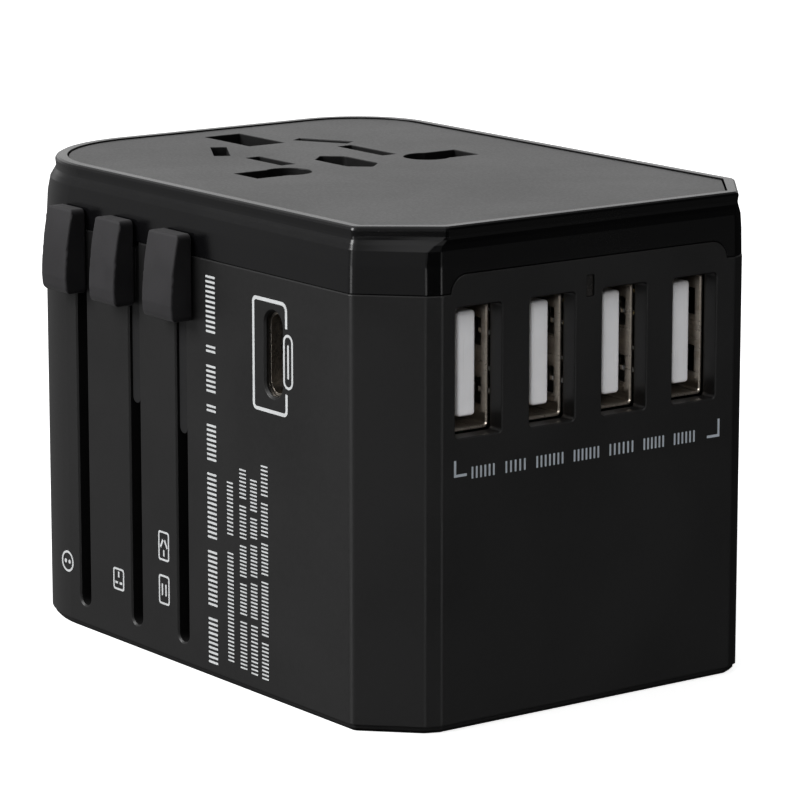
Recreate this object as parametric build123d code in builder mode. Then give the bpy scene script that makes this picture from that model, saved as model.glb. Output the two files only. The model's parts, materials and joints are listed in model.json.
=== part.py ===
"""Universal travel adapter: a block with a multi-standard socket on top, three
sliding plugs that come out of the base, and a bank of USB charging ports.

Frame: origin at the centre of the base face, +Z up through the socket face,
+X out of the USB-A face, -Y out of the face with the three plug sliders.
Millimetres.
"""
from build123d import *
import math
import os

os.makedirs("parts", exist_ok=True)

# ---------------------------------------------------------------- dimensions
W = 74.0            # along X
D = 53.0            # along Y
H = 52.55           # along Z, top of the cap's rim
Z_FACE = 52.4       # socket face, just below the rim
Z_PART = 45.7       # joint between the lower shell and the cap
Z_SHELL = 0.8       # lower edge of the shell, top of the base flange
WALL = 2.0
R_BACK = 14.0       # rounded vertical corner at -X, -Y
R_FAR = 10.5        # rounded vertical corner at -X, +Y
CH = 6.1            # 45 degree chamfer at +X, -Y
CH_FAR_X = 1.5      # the chamfer at +X, +Y is this much longer along X
R_CH_SIDE = 1.2     # vertical edge radius, chamfer to slider face
R_CH_USB = 2.5      # vertical edge radius, chamfer to USB face

# sliders: X of each lever, and the slot they share in form
X_EU, X_UK, X_US = -19.9, -9.3, -0.1
SLOT_W = 2.05
SLOT_Z0 = 2.9
LEVER_Z0, LEVER_Z1 = 38.65, 48.05
NECK_W = 1.5
# thumb pads: centre and width of each, and of the key that holds it
PAD_EU = (-21.1, 5.05, -19.9, 1.5)
PAD_UK = (-11.35, 5.05, -9.65, 0.8)
PAD_US = (-0.44, 5.75, -0.1, 1.5)
TRAVEL = 22.0

# plug pins
EU_Y, EU_R = 9.5, 2.0
UK_Y, UK_PX, UK_PY = 11.1, 4.0, 6.35
UK_EARTH_DX, UK_EX, UK_EY = 22.2, 8.0, 4.0
US_Y, US_T, US_L = 6.35, 1.5, 6.35
ROTOR_R = 3.30
TIP_EU, TIP_UK, TIP_US, TIP_EARTH = 3.0, 4.3, 5.0, 2.9

# carriages
BAR_Z0, BAR_Z1 = 26.0, 34.0
BAR_Y0 = -24.2

# USB-A ports
USB_Y = (-14.8, -5.25, 4.3, 13.85)
USB_Z = 37.5
USB_REC_W, USB_REC_H = 5.95, 13.5
USB_W, USB_H, USB_T = 5.7, 13.1, 0.3
USB_X0, USB_X1 = 22.0, 34.85

# USB-C port
TC_X, TC_Z = 17.27, 37.4
TC_L, TC_W = 8.94, 3.26

# raised tab of the shell that rises into the cap over the USB bank
TAB_Y0, TAB_Y1, TAB_Z1, TAB_R = -18.3, 18.2, 47.6, 2.0

# light window
LED_Y, LED_Z, LED_W, LED_H = -0.28, 44.7, 1.1, 2.3

# socket face
PLATE_T = 1.5
PLATE_INSET = 1.75
Z_COLLAR = 47.4
SK_UK_X = -4.2
SK_US_X = -11.85
SK_AU_X = -20.93
SK_EARTH_UK_X = -26.9
SK_EARTH_AU_X = -6.5

# screws that hold the base plate
SCREWS = ((-30.2, -19.7), (-31.0, 20.5), (29.6, -22.0), (29.0, 21.6))


# ---------------------------------------------------------------- helpers
def outline(inset=0.0, rb=R_BACK, r1=R_CH_SIDE, r2=R_CH_USB, back=0.0, flare=0.0, rf=None, facet=True):
    """Plan outline of the housing: two rounded corners at -X, two chamfers at +X.
    The chamfers meet the USB face in a narrow flat with softened edges."""
    if rf is None:
        rf = max(rb - (R_BACK - R_FAR), 1.0)
    xl = -W / 2 + inset + back
    xr = W / 2 - inset
    yb = D / 2 - inset
    c = CH - inset * (2 - math.sqrt(2))
    with BuildSketch() as sk:
        with BuildLine():
            Polyline(
                (xl, -yb), (xr - c, -yb), (xr, -yb + c + flare),
                (xr, yb - c), (xr - c - CH_FAR_X, yb), (xl, yb), close=True,
            )
        make_face()

        def near(pts):
            return [v for v in sk.vertices()
                    if any(abs(v.X - p[0]) < 0.01 and abs(v.Y - p[1]) < 0.01 for p in pts)]

        fillet(near([(xl, -yb)]), rb)
        fillet(near([(xl, yb)]), rf)
        if r1 > 0:
            fillet(near([(xr - c, -yb), (xr - c - CH_FAR_X, yb)]), r1)
        corners = [(xr, -yb + c + flare), (xr, yb - c)]
        if facet:
            cut = 0.38 * r2
            chamfer(near(corners), cut)
            ends = [v for v in sk.vertices()
                    if any(abs(math.hypot(v.X - p[0], v.Y - p[1]) - cut) < 0.01 for p in corners)]
            fillet(ends, 0.36 * r2)
        elif r2 > 0:
            fillet(near(corners), r2)
    return sk.sketch


def cavity_outline(inset):
    return outline(inset, rb=max(R_BACK - inset, 1.0), r1=0.6, r2=0.8, facet=False)


# ---------------------------------------------------------------- lower shell
with BuildPart() as lower_shell:
    with BuildSketch(Plane.XY.offset(Z_SHELL)):
        add(outline())
    extrude(amount=Z_PART - Z_SHELL)
    rim = lower_shell.faces().sort_by(Axis.Z)[-1]
    chamfer(rim.outer_wire().edges(), 0.1)
    with BuildSketch(Plane.XY.offset(Z_SHELL)):
        add(cavity_outline(WALL))
    extrude(amount=Z_PART - Z_SHELL, mode=Mode.SUBTRACT)
    # tab over the USB bank
    with BuildSketch(Plane.YZ.offset(W / 2 - WALL)) as tab_sk:
        with Locations(((TAB_Y0 + TAB_Y1) / 2, (TAB_Z1 + Z_PART - 2.0) / 2)):
            Rectangle(TAB_Y1 - TAB_Y0, TAB_Z1 - Z_PART + 2.0)
        fillet([v for v in tab_sk.vertices() if v.Y > Z_PART], TAB_R)
    extrude(amount=WALL)
    # slider slots, open at the top, round at the foot
    with BuildSketch(Plane.XZ.offset(D / 2 + 0.5)) as slot_sk:
        with Locations(*[(x, (SLOT_Z0 + Z_PART + 1) / 2) for x in (X_EU, X_UK, X_US)]):
            Rectangle(SLOT_W, Z_PART + 1 - SLOT_Z0)
        fillet([v for v in slot_sk.vertices() if v.Y < SLOT_Z0 + 1], SLOT_W / 2 - 0.02)
    extrude(amount=-(WALL + 1.0), mode=Mode.SUBTRACT)
    # USB-A recesses
    with BuildSketch(Plane.YZ.offset(W / 2)):
        with Locations(*[(y, USB_Z) for y in USB_Y]):
            RectangleRounded(USB_REC_W, USB_REC_H, 0.45)
    extrude(amount=-(WALL + 0.5), mode=Mode.SUBTRACT)
    # light window
    with BuildSketch(Plane.YZ.offset(W / 2)):
        with Locations((LED_Y, LED_Z)):
            RectangleRounded(LED_W, LED_H, 0.2)
    extrude(amount=-(WALL + 0.5), mode=Mode.SUBTRACT)
    # USB-C opening: a close mouth, and a wider pocket behind it for the port
    with BuildSketch(Plane.XZ.offset(D / 2)):
        with Locations((TC_X, TC_Z)):
            SlotOverall(9.0, 3.1, rotation=90)
    extrude(amount=-(WALL + 0.5), mode=Mode.SUBTRACT)
    with BuildSketch(Plane.XZ.offset(D / 2 - 0.65)):
        with Locations((TC_X, TC_Z)):
            SlotOverall(TC_L + 0.5, TC_W + 0.5, rotation=90)
    extrude(amount=-(WALL + 0.5), mode=Mode.SUBTRACT)
    # softened mouths of the slots, recesses and USB-C opening
    on_front = [e for e in lower_shell.edges()
                if abs(e.center().Y + D / 2) < 0.01 and abs(e.bounding_box().size.Y) < 0.01
                and Z_SHELL + 1.0 < e.center().Z < Z_PART - 0.3]
    slot_edges = [e for e in on_front
                  if any(abs(e.center().X - x) < 1.3 for x in (X_EU, X_UK, X_US))]
    tc_edges = [e for e in on_front if abs(e.center().X - TC_X) < 3.0]
    usb_edges = [e for e in lower_shell.edges()
                 if abs(e.center().X - W / 2) < 0.01 and e.bounding_box().size.X < 0.01
                 and USB_Z - 7.5 < e.center().Z < USB_Z + 7.2
                 and any(abs(e.center().Y - y) < 3.2 for y in USB_Y)]
    chamfer(slot_edges, 0.2)
    chamfer(tc_edges, 0.25)
    chamfer(usb_edges, 0.1)
    # screw bosses
    with BuildSketch(Plane.XY.offset(2.4)):
        with Locations(*SCREWS):
            Circle(2.7)
    extrude(amount=11.6)
    with BuildSketch(Plane.XY.offset(2.4)):
        with Locations(*SCREWS):
            Circle(0.9)
    extrude(amount=10.0, mode=Mode.SUBTRACT)
lower_shell.part.label = "lower_shell"

# ---------------------------------------------------------------- cap
CAP_SECTIONS = (
    # z, inset, rb, rf, back, flare, r1, r2
    (Z_PART, 0.16, 14.0, 10.5, 0.0, 0.0, 1.2, 2.3),
    (Z_PART + 0.1, 0.06, 14.0, 10.5, 0.0, 0.0, 1.2, 2.3),
    (48.6, 0.12, 14.25, 10.5, 0.0, 0.0, 1.2, 2.3),
    (50.15, 0.24, 14.6, 10.4, 0.0, 0.1, 1.2, 2.1),
    (50.75, 0.42, 14.9, 10.3, -0.05, 0.7, 1.0, 1.3),
    (51.2, 0.58, 15.1, 10.2, -0.1, 1.5, 0.9, 0.7),
    (51.5, 0.60, 15.25, 10.1, -0.15, 1.8, 0.8, 0.5),
    (52.15, 0.50, 15.4, 10.1, -0.15, 1.8, 0.8, 0.5),
    (52.4, 0.60, 15.4, 10.0, -0.15, 1.8, 0.8, 0.5),
    (H, 0.80, 15.4, 9.9, -0.15, 1.8, 0.7, 0.5),
)


def plate_outline(inset):
    return outline(inset, rb=15.4 - (inset - 0.80), rf=9.9 - (inset - 0.80), r1=0.5, r2=0.4, back=-0.15,
                   flare=1.8, facet=False)


with BuildPart() as top_cap:
    for (z, ins, rb, rf, bk, fl, ra, rc) in CAP_SECTIONS:
        with BuildSketch(Plane.XY.offset(z)):
            add(outline(ins, rb=rb, rf=rf, r1=ra, r2=rc, back=bk, flare=fl))
    loft(ruled=True)
    # hollow, ledge and pocket for the socket plate
    with BuildSketch(Plane.XY.offset(Z_PART)):
        add(cavity_outline(WALL + 0.2))
    extrude(amount=49.2 - Z_PART, mode=Mode.SUBTRACT)
    with BuildSketch(Plane.XY.offset(49.2)):
        add(outline(2.95, rb=13.2, rf=7.8, r1=0.6, r2=0.6, flare=1.8, facet=False))
    extrude(amount=H - 49.2, mode=Mode.SUBTRACT)
    with BuildSketch(Plane.XY.offset(Z_FACE - PLATE_T)):
        add(plate_outline(PLATE_INSET))
    extrude(amount=PLATE_T + 0.5, mode=Mode.SUBTRACT)
    # notch for the shell's tab
    with BuildSketch(Plane.YZ.offset(W / 2 - WALL - 2.0)) as notch_sk:
        with Locations(((TAB_Y0 + TAB_Y1) / 2, (TAB_Z1 + 0.1 + Z_PART - 2.0) / 2)):
            Rectangle(TAB_Y1 - TAB_Y0 + 0.2, TAB_Z1 + 0.1 - Z_PART + 2.0)
        fillet([v for v in notch_sk.vertices() if v.Y > Z_PART], TAB_R + 0.1)
    extrude(amount=6.0, mode=Mode.SUBTRACT)
    # locating skirt inside the shell, left out at the sliders and the ports
    with BuildSketch(Plane.XY.offset(Z_PART - 2.0)) as skirt_sk:
        add(cavity_outline(WALL + 0.15))
        add(cavity_outline(WALL + 1.25), mode=Mode.SUBTRACT)
        with Locations((6.0, -24.0)):
            Rectangle(70.0, 26.0, mode=Mode.SUBTRACT)
        with Locations((34.0, 0.0)):
            Rectangle(24.0, 60.0, mode=Mode.SUBTRACT)
    extrude(amount=2.6)
top_cap.part.label = "top_cap"

# ---------------------------------------------------------------- socket plate


def earth_hole(g):
    """Long six-sided hole for the US round and AU flat earth pins."""
    x = SK_EARTH_AU_X
    with BuildSketch() as sk:
        with BuildLine():
            Polyline(
                (x - 5.0 - g, 0.0), (x - 3.1, -2.1 - g), (x + 3.1, -2.1 - g),
                (x + 5.0 + g, 0.0), (x + 3.1, 2.1 + g), (x - 3.1, 2.1 + g), close=True,
            )
        make_face()
        fillet([v for v in sk.vertices() if abs(v.Y) < 0.01], 0.45)
        fillet([v for v in sk.vertices() if abs(v.Y) > 1.5], 0.8)
    return sk.sketch


def socket_holes(grow=0.0):
    """All pin holes of the socket face, as one sketch."""
    with BuildSketch() as sk:
        # line and neutral, UK blades joined with round EU pins
        for s in (-1, 1):
            with Locations((SK_UK_X, s * 12.9)):
                Rectangle(4.5 + grow, 4.3 + grow)
            with Locations((SK_UK_X, s * 9.5)):
                Circle(2.65 + grow / 2)
        # US blades, the neutral one longer
        with Locations((SK_US_X + 0.1, -6.57)):
            Rectangle(6.95 + grow, 1.87 + grow)
        with Locations((SK_US_X - 0.15, 6.85)):
            Rectangle(8.6 + grow, 1.9 + grow)
        # slanted AU blades
        with Locations(Location((SK_AU_X, -7.06), -30.5)):
            Rectangle(6.75 + grow, 1.82 + grow)
        with Locations(Location((SK_AU_X, 7.15), 30.5)):
            Rectangle(6.75 + grow, 1.82 + grow)
        # UK earth
        with Locations((SK_EARTH_UK_X, 0.33)):
            Rectangle(9.1 + grow, 4.85 + grow)
        add(earth_hole(grow / 2))
    return sk.sketch


with BuildPart() as socket_plate:
    with BuildSketch(Plane.XY.offset(Z_FACE - PLATE_T)):
        add(plate_outline(PLATE_INSET + 0.12))
    extrude(amount=PLATE_T)
    chamfer(socket_plate.faces().sort_by(Axis.Z)[-1].outer_wire().edges(), 0.1)
    # collars that guide the pins
    with BuildSketch(Plane.XY.offset(Z_COLLAR)):
        add(socket_holes(grow=1.7))
    extrude(amount=Z_FACE - PLATE_T - Z_COLLAR)
    with BuildSketch(Plane.XY.offset(Z_COLLAR)):
        add(socket_holes())
    extrude(amount=Z_FACE - Z_COLLAR, mode=Mode.SUBTRACT)
    mouth = [e for e in socket_plate.edges()
             if abs(e.center().Z - Z_FACE) < 0.01 and e.bounding_box().size.Z < 0.01
             and abs(e.center().Y) < 16.0 and -33.0 < e.center().X < 0.5]
    chamfer(mouth, 0.06)
socket_plate.part.label = "socket_plate"

# ---------------------------------------------------------------- base plate
X_EARTH = X_UK + UK_EARTH_DX

with BuildPart() as base_plate:
    with BuildSketch():
        add(outline(0.3, rb=R_BACK - 0.3))
    extrude(amount=Z_SHELL)
    chamfer(base_plate.faces().sort_by(Axis.Z)[0].outer_wire().edges(), 0.35)
    with BuildSketch(Plane.XY.offset(Z_SHELL)):
        add(cavity_outline(WALL + 0.1))
    extrude(amount=2.4 - Z_SHELL)
    # pin openings
    with BuildSketch():
        with Locations((X_EU, -EU_Y), (X_EU, EU_Y)):
            Circle(EU_R + 0.3)
        with Locations((X_UK, -UK_Y), (X_UK, UK_Y)):
            Rectangle(UK_PX + 0.6, UK_PY + 0.6)
        with Locations((X_EARTH, 0)):
            Rectangle(UK_EX + 0.6, UK_EY + 0.6)
        for s in (-1, 1):
            for a in (0, 7.5, 15, 22.5, 30):
                with Locations(Location((X_US, s * US_Y), -s * a)):
                    Rectangle(US_L + 0.5, US_T + 0.5)
    extrude(amount=2.4, mode=Mode.SUBTRACT)
    # shallow recess that frames the pin field
    with BuildSketch():
        with Locations((-3.0, 0)):
            RectangleRounded(48.0, 36.0, 4.0)
        with Locations((-3.0, 0)):
            RectangleRounded(46.8, 34.8, 3.4, mode=Mode.SUBTRACT)
    extrude(amount=0.3, mode=Mode.SUBTRACT)
    # screw seats
    with BuildSketch():
        with Locations(*SCREWS):
            Circle(2.1)
    extrude(amount=1.3, mode=Mode.SUBTRACT)
    with BuildSketch():
        with Locations(*SCREWS):
            Circle(1.1)
    extrude(amount=2.4, mode=Mode.SUBTRACT)
base_plate.part.label = "base_plate"

with BuildPart() as base_screws:
    for (sx, sy) in SCREWS:
        with BuildSketch(Plane.XY.offset(0.2)):
            with Locations((sx, sy)):
                Circle(1.9)
        extrude(amount=1.1)
        with BuildSketch(Plane.XY.offset(1.3)):
            with Locations((sx, sy)):
                Circle(0.86)
        extrude(amount=9.5)
        with BuildSketch(Plane.XY.offset(0.2)):
            with Locations((sx, sy)):
                Rectangle(2.2, 0.45)
                Rectangle(0.45, 2.2)
        extrude(amount=0.6, mode=Mode.SUBTRACT)
base_screws.part.label = "base_screws"

# ---------------------------------------------------------------- inner frame
DECK_X0, DECK_X1, DECK_Y0, DECK_Y1 = -31.0, 8.0, -20.4, 22.6
DECK_Z0, DECK_Z1 = 36.6, 38.2

with BuildPart() as inner_frame:
    with BuildSketch(Plane.XY.offset(DECK_Z0)) as deck_sk:
        with Locations(((DECK_X0 + DECK_X1) / 2, (DECK_Y0 + DECK_Y1) / 2)):
            Rectangle(DECK_X1 - DECK_X0, DECK_Y1 - DECK_Y0)
        fillet([v for v in deck_sk.vertices() if v.X < 0], 8.0)
    extrude(amount=DECK_Z1 - DECK_Z0)
    # guide ribs between the carriages
    with BuildSketch(Plane.XY.offset(2.4)):
        with Locations((-14.5, -4.0)):
            Rectangle(1.6, 32.0)
        with Locations((-4.95, -4.0)):
            Rectangle(0.8, 32.0)
        with Locations((5.2, -4.0)):
            Rectangle(1.2, 32.0)
        with Locations((-25.6, 0.0)):
            Rectangle(1.4, 26.0)
        with Locations((-7.0, 22.0)):
            Rectangle(28.0, 1.2)
    extrude(amount=DECK_Z0 - 2.4)
    # posts that carry the contact cover
    with BuildSketch(Plane.XY.offset(DECK_Z1)):
        with Locations((-26.5, -16.0), (-26.5, 17.5), (5.6, -18.0), (5.6, 20.2)):
            Circle(1.6)
    extrude(amount=45.2 - DECK_Z1)
inner_frame.part.label = "inner_frame"

with BuildPart() as contact_cover:
    with BuildSketch(Plane.XY.offset(45.2)) as cov_sk:
        with Locations(((DECK_X0 + 15.0) / 2, 1.0)):
            Rectangle(15.0 - DECK_X0, 41.0)
        fillet([v for v in cov_sk.vertices() if v.X < 0], 9.0)
        add(socket_holes(grow=0.6), mode=Mode.SUBTRACT)
    extrude(amount=0.8)
    # spring stop
    with BuildSketch(Plane.XY.offset(46.0)):
        with Locations((13.6, 0)):
            Rectangle(1.6, 6.0)
    extrude(amount=1.6)
contact_cover.part.label = "contact_cover"

# ---------------------------------------------------------------- shutter
SH_TRAVEL = 5.6
with BuildPart() as socket_shutter:
    with BuildSketch(Plane.XY.offset(46.15)):
        for s in (-1, 1):
            with Locations((-4.2, s * 11.1)):
                Rectangle(6.2, 9.6)
            with Locations((0.7, s * 11.1)):
                Rectangle(4.6, 7.0)
        with Locations((1.9, 0)):
            Rectangle(2.6, 29.2)
    extrude(amount=1.1)
    # ramps that a pin pushes against
    for s in (-1, 1):
        ramp_edges = [e for e in socket_shutter.edges()
                      if abs(e.center().X + 7.3) < 0.01 and abs(e.center().Z - 47.25) < 0.01
                      and abs(e.center().Y - s * 11.1) < 1.0]
        chamfer(ramp_edges, 0.7)
    with BuildSketch(Plane.YZ.offset(3.2)):
        with Locations((0, 46.8)):
            Circle(0.5)
    extrude(amount=2.0)
socket_shutter.part.label = "socket_shutter"

with BuildPart() as shutter_spring:
    with BuildLine():
        hx = Helix(pitch=1.2, height=7.8, radius=0.8, center=(4.85, 0, 46.95), direction=(1, 0, 0))
    with BuildSketch(Plane(origin=hx @ 0, z_dir=hx % 0)):
        Circle(0.14)
    sweep()
shutter_spring.part.label = "shutter_spring"

# ---------------------------------------------------------------- socket contacts
STRIP_Z0, STRIP_Z1, LEAF_Z1 = 38.2, 38.7, 44.9


def leaf(x, y, lx, ly):
    """One upright contact leaf on the deck strip."""
    with BuildPart() as bp:
        with BuildSketch(Plane.XY.offset(STRIP_Z1)):
            with Locations((x, y)):
                Rectangle(lx, ly)
        extrude(amount=LEAF_Z1 - STRIP_Z1)
    return bp.part


def line_contact(s):
    with BuildPart() as bp:
        with BuildSketch(Plane.XY.offset(STRIP_Z0)):
            with Locations((-11.6, s * 10.9)):
                Rectangle(22.0, 3.0)
            with Locations((SK_UK_X, s * 11.0)):
                Rectangle(6.2, 6.4)
            with Locations((SK_US_X, s * 8.0)):
                Rectangle(5.2, 6.0)
            with Locations(Location((SK_AU_X, s * 8.0), s * 30.0)):
                Rectangle(5.6, 6.0)
        extrude(amount=STRIP_Z1 - STRIP_Z0)
        add(leaf(SK_UK_X - 2.55, s * 11.1, 0.4, 5.8))
        add(leaf(SK_UK_X + 2.55, s * 11.1, 0.4, 5.8))
        add(leaf(SK_US_X, s * (US_Y - 1.15), 5.0, 0.35))
        add(leaf(SK_US_X, s * (US_Y + 1.15), 5.0, 0.35))
        with BuildSketch(Plane.XY.offset(STRIP_Z1)):
            with Locations(Location((SK_AU_X, s * 6.9), s * 30.0)):
                with Locations((0, -1.15), (0, 1.15)):
                    Rectangle(5.0, 0.35)
        extrude(amount=LEAF_Z1 - STRIP_Z1)
    return bp.part


with BuildPart() as live_contact:
    add(line_contact(-1))
live_contact.part.label = "live_contact"

with BuildPart() as neutral_contact:
    add(line_contact(1))
neutral_contact.part.label = "neutral_contact"

with BuildPart() as earth_contact:
    with BuildSketch(Plane.XY.offset(STRIP_Z0)):
        with Locations((-16.6, 0)):
            Rectangle(26.0, 2.2)
        with Locations((SK_EARTH_UK_X, 0)):
            Rectangle(6.6, 6.4)
    extrude(amount=STRIP_Z1 - STRIP_Z0)
    add(leaf(SK_EARTH_UK_X, -2.65, 6.0, 0.4))
    add(leaf(SK_EARTH_UK_X, 2.65, 6.0, 0.4))
    add(leaf(-6.0, 0.75, 4.0, 0.35))
    add(leaf(-6.0, -0.75, 4.0, 0.35))
earth_contact.part.label = "earth_contact"

with BuildPart() as detent_springs:
    for x in (X_EU, X_UK, X_US):
        with BuildSketch(Plane.XY.offset(34.9)):
            with Locations((x, DECK_Y0 - 0.13)):
                Rectangle(3.0, 0.26)
        extrude(amount=3.3)
        with BuildSketch(Plane.YZ.offset(x - 1.5)):
            with Locations((DECK_Y0 - 0.36, 35.3)):
                Circle(0.32)
        extrude(amount=3.0)
detent_springs.part.label = "detent_springs"

# ---------------------------------------------------------------- carriages


def mast_and_neck(x, neck_z0, pad):
    """Mast behind the wall, and the thin neck through the slot to the lever."""
    key_x, key_w = pad[2:]
    with BuildPart() as bp:
        with BuildSketch(Plane.XY.offset(BAR_Z0)):
            with Locations((x, (BAR_Y0 - 21.4) / 2)):
                Rectangle(6.4, -21.4 - BAR_Y0)
        extrude(amount=45.2 - BAR_Z0)
        with BuildSketch(Plane.XZ.offset(-BAR_Y0)) as nk:
            with Locations((x, (neck_z0 + 45.2) / 2)):
                Rectangle(NECK_W, 45.2 - neck_z0)
            fillet([v for v in nk.vertices() if v.Y < neck_z0 + 1], NECK_W / 2 - 0.02)
        extrude(amount=D / 2 - 0.35 + BAR_Y0)
        # key that carries the lever pad
        with BuildSketch(Plane.XZ.offset(D / 2 - 0.4)):
            with Locations((key_x, 42.2)):
                Rectangle(key_w, 5.6)
        extrude(amount=1.15)
    return bp.part


def lever_pad(pad):
    """Thumb pad: long crowned front, thin at the top, thick at the foot."""
    cx, w, key_x, key_w = pad
    y0 = -(D / 2 + 0.22)
    with BuildPart() as bp:
        with BuildSketch(Plane.YZ.offset(cx - w / 2)) as sk:
            with BuildLine():
                a = (y0, LEVER_Z1)
                b = (y0 - 1.6, LEVER_Z1)
                m = (y0 - 2.35, 44.0)
                c = (y0 - 2.6, 40.5)
                d = (y0 - 2.45, LEVER_Z0)
                Line(a, b)
                ThreePointArc(b, m, c)
                Line(c, d)
                Line(d, (y0, LEVER_Z0))
                Line((y0, LEVER_Z0), a)
            make_face()
            fillet([v for v in sk.vertices() if abs(v.Y - LEVER_Z0) < 0.01 and v.X < y0 - 1], 0.9)
            fillet([v for v in sk.vertices() if abs(v.Y - LEVER_Z1) < 0.01 and v.X < y0 - 0.5], 0.35)
        extrude(amount=w)
        for sx in (-1, 1):
            fillet([e for e in bp.edges()
                    if abs(e.center().X - cx - sx * w / 2) < 0.01 and e.center().Y < y0 - 0.1], 0.25)
        # rounded corners seen from the front
        with BuildSketch(Plane.XZ.offset(-y0)):
            with Locations((cx, (LEVER_Z0 + LEVER_Z1) / 2)):
                RectangleRounded(w, LEVER_Z1 - LEVER_Z0, 0.6)
        extrude(amount=4.0, mode=Mode.INTERSECT)
        # socket for the neck's key
        with BuildSketch(Plane.XZ.offset(-y0 - 0.1)):
            with Locations((key_x, 42.2)):
                Rectangle(key_w, 5.6)
        extrude(amount=0.75 + 0.1, mode=Mode.SUBTRACT)
    return bp.part


with BuildPart() as eu_carriage:
    with BuildSketch(Plane.XY.offset(BAR_Z0)):
        with Locations((X_EU, (BAR_Y0 + 13.0) / 2)):
            Rectangle(7.0, 13.0 - BAR_Y0)
    extrude(amount=BAR_Z1 - BAR_Z0)
    add(mast_and_neck(X_EU, 38.9, PAD_EU))
    with BuildSketch(Plane.XY.offset(BAR_Z0)):
        with Locations((X_EU, -EU_Y), (X_EU, EU_Y)):
            Circle(EU_R)
    extrude(amount=6.0, mode=Mode.SUBTRACT)
eu_carriage.part.label = "eu_carriage"

with BuildPart() as eu_lever:
    add(lever_pad(PAD_EU))
eu_lever.part.label = "eu_lever"

with BuildPart() as eu_pins:
    for s in (-1, 1):
        with BuildSketch(Plane.XY.offset(TIP_EU)):
            with Locations((X_EU, s * EU_Y)):
                Circle(EU_R)
        extrude(amount=BAR_Z0 + 6.0 - TIP_EU)
        tips = [e for e in eu_pins.edges() if abs(e.center().Z - TIP_EU) < 0.01
                and abs(e.center().Y - s * EU_Y) < 3]
        fillet(tips, 1.4)
        # waist that the sleeve fills
        with BuildSketch(Plane.XY.offset(TIP_EU + 9.0)):
            with Locations((X_EU, s * EU_Y)):
                Circle(EU_R + 0.5)
                Circle(EU_R - 0.35, mode=Mode.SUBTRACT)
        extrude(amount=10.0, mode=Mode.SUBTRACT)
eu_pins.part.label = "eu_pins"

with BuildPart() as eu_pin_sleeves:
    with BuildSketch(Plane.XY.offset(TIP_EU + 9.0)):
        with Locations((X_EU, -EU_Y), (X_EU, EU_Y)):
            Circle(EU_R - 0.02)
            Circle(EU_R - 0.35, mode=Mode.SUBTRACT)
    extrude(amount=10.0)
eu_pin_sleeves.part.label = "eu_pin_sleeves"

with BuildPart() as uk_carriage:
    with BuildSketch(Plane.XY.offset(BAR_Z0)):
        with Locations((X_UK, (BAR_Y0 + 20.0) / 2)):
            Rectangle(7.0, 20.0 - BAR_Y0)
        with Locations(((X_UK + 17.4) / 2, 17.3)):
            Rectangle(17.4 - X_UK, 5.4)
        with Locations((X_EARTH, 8.3)):
            Rectangle(9.0, 23.4)
    extrude(amount=BAR_Z1 - BAR_Z0)
    add(mast_and_neck(X_UK, 27.8, PAD_UK))
    with BuildSketch(Plane.XY.offset(BAR_Z0)):
        with Locations((X_UK, -UK_Y), (X_UK, UK_Y)):
            Rectangle(UK_PX, UK_PY)
    extrude(amount=5.0, mode=Mode.SUBTRACT)
    with BuildSketch(Plane.XY.offset(BAR_Z0)):
        with Locations((X_EARTH, 0)):
            Rectangle(UK_EX - 2.0, UK_EY - 1.0)
    extrude(amount=3.0, mode=Mode.SUBTRACT)
uk_carriage.part.label = "uk_carriage"

with BuildPart() as uk_lever:
    add(lever_pad(PAD_UK))
uk_lever.part.label = "uk_lever"

with BuildPart() as uk_pins:
    for s in (-1, 1):
        with BuildSketch(Plane.XY.offset(TIP_UK)):
            with Locations((X_UK, s * UK_Y)):
                Rectangle(UK_PX, UK_PY)
        extrude(amount=BAR_Z0 + 5.0 - TIP_UK)
        tips = [e for e in uk_pins.edges() if abs(e.center().Z - TIP_UK) < 0.01
                and abs(e.center().Y - s * UK_Y) < 4]
        chamfer(tips, 1.0)
uk_pins.part.label = "uk_pins"

with BuildPart() as uk_earth_pin:
    with BuildSketch(Plane.XY.offset(TIP_EARTH)):
        with Locations((X_EARTH, 0)):
            Rectangle(UK_EX, UK_EY)
    extrude(amount=BAR_Z0 - TIP_EARTH)
    chamfer([e for e in uk_earth_pin.edges() if abs(e.center().Z - TIP_EARTH) < 0.01], 1.0)
    with BuildSketch(Plane.XY.offset(BAR_Z0)):
        with Locations((X_EARTH, 0)):
            Rectangle(UK_EX - 2.0, UK_EY - 1.0)
    extrude(amount=3.0)
uk_earth_pin.part.label = "uk_earth_pin"

with BuildPart() as us_carriage:
    with BuildSketch(Plane.XY.offset(BAR_Z0)):
        with Locations((X_US, (BAR_Y0 + 9.0) / 2)):
            Rectangle(6.4, 9.0 - BAR_Y0)
        with Locations((X_US, -US_Y), (X_US, US_Y)):
            Circle(4.1)
    extrude(amount=BAR_Z1 - BAR_Z0)
    add(mast_and_neck(X_US, 26.0, PAD_US))
    with BuildSketch(Plane.XY.offset(BAR_Z0)):
        with Locations((X_US, -US_Y), (X_US, US_Y)):
            Circle(ROTOR_R + 0.08)
    extrude(amount=6.08, mode=Mode.SUBTRACT)
us_carriage.part.label = "us_carriage"

with BuildPart() as us_lever:
    add(lever_pad(PAD_US))
us_lever.part.label = "us_lever"


def us_rotor(s):
    with BuildPart() as bp:
        with BuildSketch(Plane.XY.offset(BAR_Z0)):
            with Locations((X_US, s * US_Y)):
                Circle(ROTOR_R)
        extrude(amount=6.0)
        with BuildSketch(Plane.XY.offset(BAR_Z0)):
            with Locations((X_US, s * US_Y)):
                Rectangle(US_L - 0.4, US_T)
        extrude(amount=4.0, mode=Mode.SUBTRACT)
    return bp.part


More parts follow.
